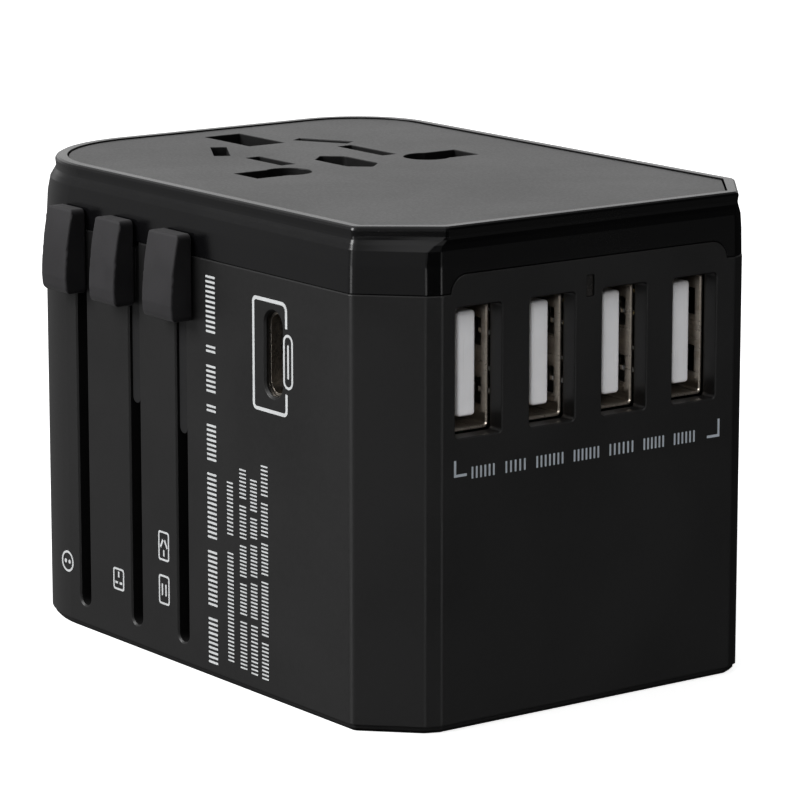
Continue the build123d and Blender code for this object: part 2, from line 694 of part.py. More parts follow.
def us_blade(s):
    with BuildPart() as bp:
        with BuildSketch(Plane.XY.offset(TIP_US)):
            with Locations((X_US, s * US_Y)):
                Rectangle(US_L, US_T)
        extrude(amount=BAR_Z0 - TIP_US)
        chamfer([e for e in bp.edges() if abs(e.center().Z - TIP_US) < 0.01], 0.6)
        with BuildSketch(Plane.XY.offset(BAR_Z0)):
            with Locations((X_US, s * US_Y)):
                Rectangle(US_L - 0.4, US_T)
        extrude(amount=4.0)
        # detent hole near the tip
        with BuildSketch(Plane.XZ.offset(-s * US_Y - 2.0)):
            with Locations((X_US, TIP_US + 4.3)):
                Circle(1.6)
        extrude(amount=4.0, mode=Mode.SUBTRACT)
    return bp.part


with BuildPart() as us_rotor_line:
    add(us_rotor(-1))
us_rotor_line.part.label = "us_rotor_line"
with BuildPart() as us_rotor_neutral:
    add(us_rotor(1))
us_rotor_neutral.part.label = "us_rotor_neutral"
with BuildPart() as us_blade_line:
    add(us_blade(-1))
us_blade_line.part.label = "us_blade_line"
with BuildPart() as us_blade_neutral:
    add(us_blade(1))
us_blade_neutral.part.label = "us_blade_neutral"

# ---------------------------------------------------------------- USB-A ports


def usb_shell(y):
    """Stamped shell, open at the front, with latch windows in its wide walls."""
    with BuildPart() as bp:
        with BuildSketch(Plane.YZ.offset(USB_X0)):
            with Locations((y, USB_Z)):
                RectangleRounded(USB_W, USB_H, 0.5)
        extrude(amount=USB_X1 - USB_X0)
        with BuildSketch(Plane.YZ.offset(USB_X0 + USB_T)):
            with Locations((y, USB_Z)):
                RectangleRounded(USB_W - 2 * USB_T, USB_H - 2 * USB_T, 0.25)
        extrude(amount=USB_X1 - USB_X0, mode=Mode.SUBTRACT)
        # windows for the latch fingers
        with BuildSketch(Plane.XZ.offset(-y - USB_W)):
            with Locations((31.1, USB_Z + 3.3), (31.1, USB_Z - 2.9)):
                Rectangle(5.8, 2.9)
        extrude(amount=2 * USB_W, mode=Mode.SUBTRACT)
        # bent latch fingers inside the windows
        for sy in (-1, 1):
            for dz in (-2.9, 3.3):
                with BuildSketch(Plane.XY.offset(USB_Z + dz - 0.95)):
                    with BuildLine():
                        yw = y + sy * (USB_W / 2 - USB_T / 2)
                        q = sy * 0.14
                        Polyline(
                            (28.0, yw + q), (28.0, yw - q),
                            (31.3, yw - sy * 0.3 - q), (32.8, yw - sy * 0.05 - q),
                            (32.8, yw - sy * 0.05 + q), (31.3, yw - sy * 0.3 + q), close=True,
                        )
                    make_face()
                extrude(amount=1.9)
        # folded lips at the mouth
        mouth = [e for e in bp.edges() if abs(e.center().X - USB_X1) < 0.01
                 and abs(e.center().Y - y) < USB_W / 2 - USB_T + 0.01
                 and abs(e.center().Z - USB_Z) < USB_H / 2 - USB_T + 0.01]
        chamfer(mouth, 0.14)
    return bp.part


def usb_tongue(y):
    """Moulded tongue and back wall of a port."""
    with BuildPart() as bp:
        with BuildSketch(Plane.YZ.offset(USB_X0 + USB_T)):
            with Locations((y, USB_Z)):
                RectangleRounded(USB_W - 2 * USB_T - 0.04, USB_H - 2 * USB_T - 0.04, 0.3)
        extrude(amount=3.2)
        with BuildSketch(Plane.YZ.offset(USB_X0 + USB_T + 3.2)):
            with Locations((y + 0.95, USB_Z + 0.1)):
                RectangleRounded(2.21, 11.0, 0.4)
        extrude(amount=33.75 - USB_X0 - USB_T - 3.2)
        nose = [e for e in bp.edges() if abs(e.center().X - 33.75) < 0.01]
        fillet(nose, 0.3)
        # grooves for the four contacts
        with BuildSketch(Plane.YZ.offset(27.0)):
            with Locations(*[(y + 0.87 - 1.025, USB_Z + z) for z in (-3.5, -1.0, 1.0, 3.5)]):
                Rectangle(0.5, 1.0)
        extrude(amount=5.6, mode=Mode.SUBTRACT)
    return bp.part


with BuildPart() as usb_port_shell_1:
    add(usb_shell(USB_Y[0]))
usb_port_shell_1.part.label = "usb_port_shell_1"
with BuildPart() as usb_port_shell_2:
    add(usb_shell(USB_Y[1]))
usb_port_shell_2.part.label = "usb_port_shell_2"
with BuildPart() as usb_port_shell_3:
    add(usb_shell(USB_Y[2]))
usb_port_shell_3.part.label = "usb_port_shell_3"
with BuildPart() as usb_port_shell_4:
    add(usb_shell(USB_Y[3]))
usb_port_shell_4.part.label = "usb_port_shell_4"
with BuildPart() as usb_tongue_1:
    add(usb_tongue(USB_Y[0]))
usb_tongue_1.part.label = "usb_tongue_1"
with BuildPart() as usb_tongue_2:
    add(usb_tongue(USB_Y[1]))
usb_tongue_2.part.label = "usb_tongue_2"
with BuildPart() as usb_tongue_3:
    add(usb_tongue(USB_Y[2]))
usb_tongue_3.part.label = "usb_tongue_3"
with BuildPart() as usb_tongue_4:
    add(usb_tongue(USB_Y[3]))
usb_tongue_4.part.label = "usb_tongue_4"

with BuildPart() as usb_contacts:
    for y in USB_Y:
        with BuildSketch(Plane.YZ.offset(27.0)):
            with Locations(*[(y + 0.87 - 1.025 + 0.08, USB_Z + z) for z in (-3.5, -1.0, 1.0, 3.5)]):
                Rectangle(0.3, 0.9)
        extrude(amount=5.5)
usb_contacts.part.label = "usb_contacts"

# ---------------------------------------------------------------- USB-C port
with BuildPart() as type_c_shell:
    with BuildSketch(Plane.XZ.offset(25.8)):
        with Locations((TC_X, TC_Z)):
            SlotOverall(TC_L, TC_W, rotation=90)
    extrude(amount=-7.75)
    with BuildSketch(Plane.XZ.offset(25.8)):
        with Locations((TC_X, TC_Z)):
            SlotOverall(TC_L - 0.6, TC_W - 0.6, rotation=90)
    extrude(amount=-6.7, mode=Mode.SUBTRACT)
type_c_shell.part.label = "type_c_shell"

with BuildPart() as type_c_tongue:
    with BuildSketch(Plane.XZ.offset(19.1)):
        with Locations((TC_X, TC_Z)):
            Rectangle(0.7, 6.7)
    extrude(amount=5.1)
    chamfer([e for e in type_c_tongue.edges() if abs(e.center().Y + 24.2) < 0.01], 0.15)
type_c_tongue.part.label = "type_c_tongue"

with BuildPart() as type_c_board:
    with BuildSketch(Plane.XZ.offset(18.05)):
        with Locations((16.2, TC_Z)):
            Rectangle(8.0, 14.0)
    extrude(amount=-1.0)
type_c_board.part.label = "type_c_board"

# ---------------------------------------------------------------- electronics
with BuildPart() as usb_board:
    with BuildSketch(Plane.YZ.offset(20.4)):
        with Locations((0, 26.0)):
            Rectangle(42.0, 38.0)
    extrude(amount=1.6)
usb_board.part.label = "usb_board"

with BuildPart() as transformer:
    with BuildSketch(Plane.YZ.offset(22.0)):
        with Locations((-8.0, 17.5)):
            Rectangle(15.0, 12.6)
    extrude(amount=2.2)
    with BuildSketch(Plane.YZ.offset(24.2)):
        with Locations((-8.0, 17.5)):
            Rectangle(10.6, 9.6)
    extrude(amount=5.4)
    with BuildSketch(Plane.YZ.offset(29.6)):
        with Locations((-8.0, 17.5)):
            Rectangle(15.0, 12.6)
    extrude(amount=1.6)
transformer.part.label = "transformer"

with BuildPart() as transformer_core:
    for s in (-1, 1):
        with BuildSketch(Plane.YZ.offset(24.4)):
            with Locations((-8.0 + s * 6.7, 17.5)):
                Rectangle(2.6, 9.0)
        extrude(amount=5.0)
transformer_core.part.label = "transformer_core"

with BuildPart() as capacitors:
    for (cy, cz, r, ln) in ((6.0, 20.2, 3.2, 11.0), (6.0, 12.4, 3.2, 11.0), (13.6, 12.4, 2.6, 9.0)):
        with BuildSketch(Plane.YZ.offset(22.0)):
            with Locations((cy, cz)):
                Circle(r)
        extrude(amount=ln)
        rim_edges = [e for e in capacitors.edges() if abs(e.center().X - 22.0 - ln) < 0.01
                     and e.geom_type == GeomType.CIRCLE and abs(e.arc_center.Y - cy) < 0.1
                     and abs(e.arc_center.Z - cz) < 0.1]
        fillet(rim_edges, 0.5)
capacitors.part.label = "capacitors"

with BuildPart() as bridge_rectifier:
    with BuildSketch(Plane.YZ.offset(22.0)):
        with Locations((14.4, 21.0)):
            Rectangle(6.4, 5.0)
    extrude(amount=2.4)
    chamfer(bridge_rectifier.faces().sort_by(Axis.X)[-1].edges(), 0.3)
bridge_rectifier.part.label = "bridge_rectifier"

with BuildPart() as choke:
    with BuildSketch(Plane.YZ.offset(22.0)):
        with Locations((-17.6, 26.0)):
            Circle(2.8)
            Circle(1.2, mode=Mode.SUBTRACT)
    extrude(amount=5.0)
    fillet([e for e in choke.edges() if abs(e.center().X - 27.0) < 0.01], 0.5)
choke.part.label = "choke"

with BuildPart() as led:
    with BuildSketch(Plane.YZ.offset(22.0)):
        with Locations((LED_Y, 44.3)):
            Rectangle(1.4, 1.2)
    extrude(amount=0.9)
led.part.label = "led"

with BuildPart() as light_pipe:
    with BuildSketch(Plane.YZ.offset(23.0)):
        with Locations((LED_Y, LED_Z)):
            RectangleRounded(LED_W - 0.1, LED_H - 0.1, 0.15)
    extrude(amount=W / 2 - 0.25 - 23.0)
light_pipe.part.label = "light_pipe"

# ---------------------------------------------------------------- fuse
with BuildPart() as fuse:
    with BuildSketch(Plane.XZ.offset(8.0)):
        with Locations((-30.3, 22.0)):
            Circle(1.9)
    extrude(amount=-16.0)
fuse.part.label = "fuse"

with BuildPart() as fuse_caps:
    for y0 in (-10.0, 8.0):
        with BuildSketch(Plane.XZ.offset(-y0)):
            with Locations((-30.3, 22.0)):
                Circle(2.2)
        extrude(amount=-2.0)
fuse_caps.part.label = "fuse_caps"

with BuildPart() as fuse_clips:
    for s in (-1, 1):
        # foot against the guide wall, then a sprung U round the cap
        with BuildSketch(Plane.XZ.offset(-s * 9.0 + 0.8)) as clip_sk:
            with Locations((-30.3, 22.0)):
                Circle(2.7)
                Circle(2.2, mode=Mode.SUBTRACT)
            with Locations((-33.4, 22.0)):
                Rectangle(3.2, 3.4, mode=Mode.SUBTRACT)
            with Locations((-27.05, 22.0)):
                Rectangle(1.5, 3.0)
        extrude(amount=-1.6)
fuse_clips.part.label = "fuse_clips"

# ---------------------------------------------------------------- export
PIECES = (
    lower_shell, top_cap, socket_plate, base_plate, base_screws, inner_frame, contact_cover,
    socket_shutter, shutter_spring, live_contact, neutral_contact, earth_contact, detent_springs,
    eu_carriage, eu_lever, eu_pins, eu_pin_sleeves, uk_carriage, uk_lever, uk_pins, uk_earth_pin,
    us_carriage, us_lever, us_rotor_line, us_rotor_neutral, us_blade_line, us_blade_neutral,
    usb_port_shell_1, usb_port_shell_2, usb_port_shell_3, usb_port_shell_4,
    usb_tongue_1, usb_tongue_2, usb_tongue_3, usb_tongue_4, usb_contacts,
    type_c_shell, type_c_tongue, type_c_board, usb_board, transformer, transformer_core,
    capacitors, bridge_rectifier, choke, led, light_pipe, fuse, fuse_caps, fuse_clips,
)
for piece in PIECES:
    export_step(piece.part, "parts/" + piece.part.label + ".step")
    print(piece.part.label, len(piece.part.solids()), round(piece.part.volume, 1), piece.part.is_valid)
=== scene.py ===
import json
import math

import bpy
from mathutils import Matrix, Vector

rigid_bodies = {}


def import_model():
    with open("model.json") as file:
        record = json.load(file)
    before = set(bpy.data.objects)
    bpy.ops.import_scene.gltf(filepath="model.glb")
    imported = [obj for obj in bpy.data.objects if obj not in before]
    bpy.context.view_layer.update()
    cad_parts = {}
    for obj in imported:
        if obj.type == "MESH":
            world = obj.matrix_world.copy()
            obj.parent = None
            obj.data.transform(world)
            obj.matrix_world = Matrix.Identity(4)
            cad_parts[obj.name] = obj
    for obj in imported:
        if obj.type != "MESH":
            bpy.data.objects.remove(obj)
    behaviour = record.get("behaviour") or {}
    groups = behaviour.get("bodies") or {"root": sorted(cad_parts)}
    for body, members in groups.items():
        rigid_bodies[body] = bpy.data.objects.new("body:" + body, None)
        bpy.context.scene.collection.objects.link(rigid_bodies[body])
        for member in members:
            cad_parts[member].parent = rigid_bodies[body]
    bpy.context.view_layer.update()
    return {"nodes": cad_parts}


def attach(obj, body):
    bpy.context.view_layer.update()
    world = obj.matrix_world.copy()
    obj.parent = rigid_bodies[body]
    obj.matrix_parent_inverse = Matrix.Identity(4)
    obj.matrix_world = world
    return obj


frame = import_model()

NODES = frame["nodes"]
MM = 0.001


# ------------------------------------------------------------------ camera
def make_camera():
    data = bpy.data.cameras.new("camera")
    data.lens = 189.35
    data.sensor_width = 36.0
    data.clip_start = 0.01
    data.clip_end = 50.0
    cam = bpy.data.objects.new("camera", data)
    bpy.context.scene.collection.objects.link(cam)
    look = Vector((-0.78699, 0.58236, -0.20374)).normalized()
    up = Vector((-0.16378, 0.12119, 0.97903)).normalized()
    right = look.cross(up).normalized()
    up = right.cross(look).normalized()
    rot = Matrix((right, up, -look)).transposed().to_4x4()
    cam.matrix_world = Matrix.Translation((0.36877, -0.27026, 0.12158)) @ rot
    bpy.context.scene.camera = cam
    return cam


make_camera()

scene = bpy.context.scene
scene.view_settings.view_transform = "Standard"
scene.view_settings.look = "None"
scene.view_settings.exposure = 0.0
scene.view_settings.gamma = 1.0


# ------------------------------------------------------------------ node helpers
class Net:
    """A short way to write a node tree."""

    def __init__(self, tree):
        self.t = tree
        self.x = -1600

    def node(self, kind, **props):
        n = self.t.nodes.new(kind)
        n.location = (self.x, 0)
        self.x += 40
        for k, v in props.items():
            setattr(n, k, v)
        return n

    def put(self, socket, value):
        if isinstance(value, bpy.types.NodeSocket):
            self.t.links.new(value, socket)
        elif value is not None:
            socket.default_value = value

    def math(self, op, a, b=None, c=None, clamp=False):
        n = self.node("ShaderNodeMath", operation=op, use_clamp=clamp)
        for i, v in enumerate((a, b, c)):
            self.put(n.inputs[i], v)
        return n.outputs[0]

    def vec(self, op, a, b=None, scale=None):
        n = self.node("ShaderNodeVectorMath", operation=op)
        self.put(n.inputs[0], a)
        self.put(n.inputs[1], b)
        if scale is not None:
            self.put(n.inputs["Scale"], scale)
        return n.outputs["Value"] if op in ("DOT_PRODUCT", "LENGTH", "DISTANCE") else n.outputs["Vector"]

    def span(self, value, a, b, lo=0.0, hi=1.0, smooth=True):
        n = self.node("ShaderNodeMapRange", interpolation_type="SMOOTHSTEP" if smooth else "LINEAR", clamp=True)
        for k, v in (("Value", value), ("From Min", a), ("From Max", b), ("To Min", lo), ("To Max", hi)):
            self.put(n.inputs[k], v)
        return n.outputs["Result"]

    def noise(self, coord, scale, detail=2.0, rough=0.5, distortion=0.0, out="Fac"):
        n = self.node("ShaderNodeTexNoise", noise_dimensions="3D")
        self.put(n.inputs["Vector"], coord)
        self.put(n.inputs["Scale"], scale)
        self.put(n.inputs["Detail"], detail)
        self.put(n.inputs["Roughness"], rough)
        self.put(n.inputs["Distortion"], distortion)
        return n.outputs[out]

    def voronoi(self, coord, scale, feature="F1", out="Distance", randomness=1.0):
        n = self.node("ShaderNodeTexVoronoi", feature=feature)
        self.put(n.inputs["Vector"], coord)
        self.put(n.inputs["Scale"], scale)
        self.put(n.inputs["Randomness"], randomness)
        return n.outputs[out]

    def mapped(self, coord, scale=(1, 1, 1), rot=(0, 0, 0), loc=(0, 0, 0)):
        n = self.node("ShaderNodeMapping")
        self.put(n.inputs["Vector"], coord)
        self.put(n.inputs["Scale"], scale)
        self.put(n.inputs["Rotation"], rot)
        self.put(n.inputs["Location"], loc)
        return n.outputs["Vector"]

    def mix(self, fac, a, b, blend="MIX"):
        n = self.node("ShaderNodeMix", data_type="RGBA", blend_type=blend)
        n.clamp_factor = True
        self.put(n.inputs[0], fac)
        self.put(n.inputs[6], a)
        self.put(n.inputs[7], b)
        return n.outputs[2]

    def fmix(self, fac, a, b):
        n = self.node("ShaderNodeMix", data_type="FLOAT")
        self.put(n.inputs[0], fac)
        self.put(n.inputs[2], a)
        self.put(n.inputs[3], b)
        return n.outputs[0]

    def bump(self, height, strength, distance, normal=None, invert=False):
        n = self.node("ShaderNodeBump", invert=invert)
        self.put(n.inputs["Height"], height)
        n.inputs["Strength"].default_value = strength
        n.inputs["Distance"].default_value = distance
        if normal is not None:
            self.put(n.inputs["Normal"], normal)
        return n.outputs["Normal"]

    def xyz(self, vector):
        n = self.node("ShaderNodeSeparateXYZ")
        self.put(n.inputs[0], vector)
        return n.outputs


def rgb(v, tint=(1.0, 1.0, 1.0)):
    return (v * tint[0], v * tint[1], v * tint[2], 1.0)


def new_material(name, **fixed):
    m = bpy.data.materials.new(name)
    m.use_nodes = True
    tree = m.node_tree
    tree.nodes.clear()
    out = tree.nodes.new("ShaderNodeOutputMaterial")
    out.location = (400, 0)
    bsdf = tree.nodes.new("ShaderNodeBsdfPrincipled")
    bsdf.location = (100, 0)
    tree.links.new(bsdf.outputs[0], out.inputs["Surface"])
    for k, v in fixed.items():
        bsdf.inputs[k.replace("_", " ")].default_value = v
    net = Net(tree)
    coord = net.node("ShaderNodeTexCoord").outputs["Object"]
    return m, net, bsdf, coord


def edge_mask(net, radius, low=0.02, high=0.35, samples=6):
    """1 on convex and concave edges, 0 on flats, and the softened normal."""
    bev = net.node("ShaderNodeBevel", samples=samples)
    bev.inputs["Radius"].default_value = radius
    geo = net.node("ShaderNodeNewGeometry")
    dot = net.vec("DOT_PRODUCT", bev.outputs["Normal"], geo.outputs["Normal"])
    away = net.math("SUBTRACT", 1.0, dot)
    return net.span(away, low, high), bev.outputs["Normal"]


# ------------------------------------------------------------------ materials
def moulded(name, base, tint=(1, 1, 1), rough=0.42, spec=0.3, grain=3600.0, grain_h=0.000012, grain_s=0.35,
            vary=0.12, rough_vary=0.05, wear=0.5, soft=0.00012, hairlines=0.25, coat=0.0, coat_rough=0.1, polish=-0.08):
    """Moulded plastic: spark-eroded grain, faint flow clouding, handling marks and rubbed edges."""
    m, net, b, co = new_material(name, Metallic=0.0, Specular_IOR_Level=spec, Coat_Weight=coat, Coat_Roughness=coat_rough)
    edge, soft_n = edge_mask(net, soft)
    cloud = net.noise(co, 55.0, 4.0, 0.55, 0.4)
    cloud2 = net.noise(net.mapped(co, loc=(0.31, 0.17, 0.05)), 210.0, 3.0, 0.6)
    fine = net.noise(co, grain, 2.0, 0.65)
    pits = net.voronoi(co, grain * 0.55, "F1", "Distance")
    texture = net.math("ADD", net.math("MULTIPLY", fine, 0.75), net.math("MULTIPLY", pits, 0.45))
    # long shallow hairlines from handling, in two directions
    h1 = net.noise(net.mapped(co, scale=(30.0, 1800.0, 1500.0), rot=(0.0, 0.35, 0.12)), 1.0, 2.0, 0.5)
    h2 = net.noise(net.mapped(co, scale=(1700.0, 40.0, 1900.0), rot=(0.2, -0.4, 0.3)), 1.0, 2.0, 0.5)
    hair = net.math("MAXIMUM", net.span(h1, 0.70, 0.80), net.span(h2, 0.71, 0.80))
    hair = net.math("MULTIPLY", hair, net.span(cloud2, 0.5, 0.66))
    # colour
    c_lo, c_hi = rgb(base * (1 - vary), tint), rgb(base * (1 + vary), tint)
    col = net.mix(net.span(cloud, 0.32, 0.68), c_lo, c_hi)
    col = net.mix(net.span(texture, 0.35, 0.95, 0.0, 0.22), col, rgb(base * 1.7, tint))
    col = net.mix(net.math("MULTIPLY", edge, net.span(cloud2, 0.35, 0.7, 0.15 * wear, 0.75 * wear)), col, rgb(base * 2.6 + 0.01, tint))
    col = net.mix(net.math("MULTIPLY", hair, hairlines), col, rgb(base * 2.2 + 0.006, tint))
    net.put(b.inputs["Base Color"], col)
    # roughness
    r = net.span(cloud, 0.3, 0.7, rough - rough_vary, rough + rough_vary, smooth=False)
    r = net.math("ADD", r, net.span(fine, 0.3, 0.7, -0.03, 0.04, smooth=False))
    r = net.math("ADD", r, net.math("MULTIPLY", edge, polish))
    r = net.math("ADD", r, net.math("MULTIPLY", hair, 0.08), clamp=True)
    net.put(b.inputs["Roughness"], r)
    # relief
    n1 = net.bump(texture, grain_s, grain_h, soft_n)
    n2 = net.bump(hair, 0.12 * hairlines, 0.000006, n1, invert=True)
    n3 = net.bump(cloud, 0.10, 0.00003, n2)
    net.put(b.inputs["Normal"], n3)
    return m


def rubber(name, base, tint=(1, 1, 1)):
    """Soft-touch pad: fine pebble, dry sheen, paler rubbed crowns and settled dust."""
    m, net, b, co = new_material(name, Metallic=0.0, Specular_IOR_Level=0.32, Sheen_Weight=0.12, Sheen_Roughness=0.45)
    edge, soft_n = edge_mask(net, 0.00022, 0.01, 0.3)
    pebble = net.voronoi(co, 3800.0, "SMOOTH_F1", "Distance")
    fine = net.noise(co, 6200.0, 2.0, 0.6)
    cloud = net.noise(co, 320.0, 3.0, 0.55)
    dust = net.span(net.noise(co, 2300.0, 4.0, 0.75), 0.64, 0.74)
    col = net.mix(net.span(cloud, 0.3, 0.7), rgb(base * 0.88, tint), rgb(base * 1.12, tint))
    col = net.mix(net.math("MULTIPLY", edge, 0.6), col, rgb(base * 1.9 + 0.015, tint))
    col = net.mix(net.math("MULTIPLY", dust, 0.35), col, rgb(base * 2.4 + 0.02, tint))
    net.put(b.inputs["Base Color"], col)
    r = net.span(cloud, 0.3, 0.7, 0.55, 0.68, smooth=False)
    r = net.math("ADD", r, net.math("MULTIPLY", edge, -0.08), clamp=True)
    net.put(b.inputs["Roughness"], r)
    h = net.math("ADD", net.math("MULTIPLY", pebble, 0.8), net.math("MULTIPLY", fine, 0.4))
    net.put(b.inputs["Normal"], net.bump(h, 0.4, 0.000018, soft_n))
    return m


def metal(name, base, tint=(1, 1, 1), rough=0.28, brush=(90.0, 5200.0, 5200.0), brush_rot=(0, 0, 0), tarnish=0.3,
          tarnish_tint=(0.62, 0.48, 0.34), soft=0.00005, aniso=0.3):
    """Plated or stamped metal: drawn brush lines, tarnish clouds, dark pits and bright worn edges."""
    m, net, b, co = new_material(name, Metallic=1.0, Anisotropic=aniso, Specular_IOR_Level=0.5)
    edge, soft_n = edge_mask(net, soft, 0.03, 0.4)
    line = net.noise(net.mapped(co, scale=brush, rot=brush_rot), 1.0, 3.0, 0.6)
    cloud = net.noise(co, 420.0, 4.0, 0.6, 0.6)
    cloud_big = net.noise(co, 130.0, 2.0, 0.5)
    pits = net.span(net.voronoi(co, 2600.0, "F1", "Distance"), 0.02, 0.14, 1.0, 0.0)
    pits = net.math("MULTIPLY", pits, net.span(cloud, 0.52, 0.66))
    col = net.mix(net.span(line, 0.3, 0.7), rgb(base * 0.88, tint), rgb(base * 1.06, tint))
    dull = net.math("MULTIPLY", net.span(cloud, 0.42, 0.72), net.span(cloud_big, 0.4, 0.65, 0.4, 1.0))
    col = net.mix(net.math("MULTIPLY", dull, tarnish), col, rgb(base * 0.7, tarnish_tint))
    col = net.mix(net.math("MULTIPLY", pits, 0.6), col, rgb(base * 0.25, tarnish_tint))
    col = net.mix(net.math("MULTIPLY", edge, 0.45), col, rgb(min(1.0, base * 1.25), tint))
    net.put(b.inputs["Base Color"], col)
    r = net.span(line, 0.25, 0.75, rough - 0.07, rough + 0.09, smooth=False)
    r = net.math("ADD", r, net.math("MULTIPLY", dull, 0.14))
    r = net.math("ADD", r, net.math("MULTIPLY", edge, -0.08), clamp=True)
    net.put(b.inputs["Roughness"], r)
    n1 = net.bump(line, 0.22, 0.000006, soft_n)
    net.put(b.inputs["Normal"], net.bump(pits, 0.3, 0.000008, n1, invert=True))
    return m


def white_plastic(name, base, tint=(1, 1, 1)):
    m, net, b, co = new_material(name, Metallic=0.0, Specular_IOR_Level=0.45, Subsurface_Weight=0.08, Subsurface_Scale=0.0004)
    b.inputs["Subsurface Radius"].default_value = (1.0, 0.9, 0.8)
    edge, soft_n = edge_mask(net, 0.00012, 0.02, 0.35)
    cloud = net.noise(co, 300.0, 3.0, 0.5)
    fine = net.noise(co, 4200.0, 2.0, 0.6)
    scuff = net.span(net.noise(net.mapped(co, scale=(2600.0, 2400.0, 160.0), rot=(0, 0.1, 0)), 1.0, 2.0, 0.6), 0.62, 0.72)
    col = net.mix(net.span(cloud, 0.3, 0.7), rgb(base * 0.95, tint), rgb(base, tint))
    col = net.mix(net.math("MULTIPLY", edge, 0.22), col, rgb(base * 0.72, (1.0, 0.97, 0.92)))
    col = net.mix(net.math("MULTIPLY", scuff, 0.12), col, rgb(base * 0.6, (1.0, 0.96, 0.9)))
    net.put(b.inputs["Base Color"], col)
    net.put(b.inputs["Roughness"], net.span(fine, 0.3, 0.7, 0.30, 0.42, smooth=False))
    net.put(b.inputs["Normal"], net.bump(fine, 0.15, 0.000008, soft_n))
    return m


def ink(name, base, tint=(1, 1, 1)):
    """Pad-printed ink: a thin, slightly uneven film with pinholes."""
    m, net, b, co = new_material(name, Metallic=0.0, Specular_IOR_Level=0.3)
    grain = net.noise(co, 5200.0, 3.0, 0.65)
    cloud = net.noise(co, 700.0, 3.0, 0.5)
    holes = net.span(net.noise(co, 7400.0, 2.0, 0.7), 0.66, 0.72)
    col = net.mix(net.span(cloud, 0.3, 0.7), rgb(base * 0.90, tint), rgb(base * 1.0, tint))
    col = net.mix(net.span(grain, 0.55, 0.8, 0.0, 0.25), col, rgb(base * 0.7, tint))
    col = net.mix(net.math("MULTIPLY", holes, 0.5), col, rgb(base * 0.3, tint))
    net.put(b.inputs["Base Color"], col)
    net.put(b.inputs["Roughness"], net.span(grain, 0.3, 0.7, 0.42, 0.6, smooth=False))
    net.put(b.inputs["Normal"], net.bump(grain, 0.25, 0.000006))
    return m


def smoky(name):
    """Smoky clear light pipe: dark, glossy, with a moulded frost behind the window."""
    m, net, b, co = new_material(name, Metallic=0.0, Specular_IOR_Level=0.5, IOR=1.49, Coat_Weight=0.3, Coat_Roughness=0.08)
    frost = net.noise(co, 2400.0, 3.0, 0.6)
    cloud = net.noise(co, 900.0, 2.0, 0.5)
    col = net.mix(net.span(cloud, 0.3, 0.7), (0.016, 0.015, 0.014, 1), (0.034, 0.030, 0.027, 1))
    col = net.mix(net.span(frost, 0.55, 0.8, 0.0, 0.3), col, (0.07, 0.065, 0.06, 1))
    net.put(b.inputs["Base Color"], col)
    net.put(b.inputs["Roughness"], net.span(frost, 0.3, 0.7, 0.16, 0.3, smooth=False))
    net.put(b.inputs["Normal"], net.bump(frost, 0.1, 0.00001))
    return m


def board(name):
    """Green solder mask over copper tracks, with pads, vias and screen dots."""
    m, net, b, co = new_material(name, Metallic=0.0, Specular_IOR_Level=0.5, Coat_Weight=0.4, Coat_Roughness=0.15)
    p = net.xyz(co)
    warp = net.noise(co, 190.0, 1.0, 0.5)
    ty = net.math("ABSOLUTE", net.math("SUBTRACT", net.math("FRACT", net.math("ADD", net.math("MULTIPLY", p[1], 620.0), net.math("MULTIPLY", net.math("ROUND", net.math("MULTIPLY", warp, 7.0)), 0.5))), 0.5))
    tz = net.math("ABSOLUTE", net.math("SUBTRACT", net.math("FRACT", net.math("ADD", net.math("MULTIPLY", p[2], 540.0), net.math("MULTIPLY", net.math("ROUND", net.math("MULTIPLY", warp, 5.0)), 0.5))), 0.5))
    pick = net.span(net.noise(co, 95.0, 0.0), 0.49, 0.51)
    tracks = net.fmix(pick, net.span(ty, 0.16, 0.2, 1.0, 0.0), net.span(tz, 0.16, 0.2, 1.0, 0.0))
    vias = net.span(net.voronoi(co, 420.0, "F1", "Distance", 0.35), 0.13, 0.17, 1.0, 0.0)
    col = net.mix(tracks, (0.012, 0.075, 0.030, 1), (0.030, 0.150, 0.060, 1))
    col = net.mix(vias, col, (0.55, 0.50, 0.40, 1))
    net.put(b.inputs["Base Color"], col)
    net.put(b.inputs["Roughness"], net.fmix(vias, 0.32, 0.42))
    net.put(b.inputs["Normal"], net.bump(net.math("ADD", tracks, vias), 0.4, 0.00003))
    return m


def wrapped(name, base, tint, band=1400.0, axis=0):
    """Tape or printed sleeve: overlapping turns with a lapped edge."""
    m, net, b, co = new_material(name, Metallic=0.0, Specular_IOR_Level=0.5, Coat_Weight=0.3, Coat_Roughness=0.12)
    p = net.xyz(co)
    saw = net.math("FRACT", net.math("MULTIPLY", p[axis], band))
    lap = net.span(saw, 0.0, 0.12, 1.0, 0.0)
    cloud = net.noise(co, 500.0, 3.0, 0.5)
    col = net.mix(net.span(cloud, 0.3, 0.7), rgb(base * 0.85, tint), rgb(base * 1.1, tint))
    col = net.mix(net.math("MULTIPLY", lap, 0.5), col, rgb(base * 0.55, tint))
    net.put(b.inputs["Base Color"], col)
    net.put(b.inputs["Roughness"], net.span(cloud, 0.3, 0.7, 0.26, 0.4, smooth=False))
    net.put(b.inputs["Normal"], net.bump(saw, 0.3, 0.00004))
    return m


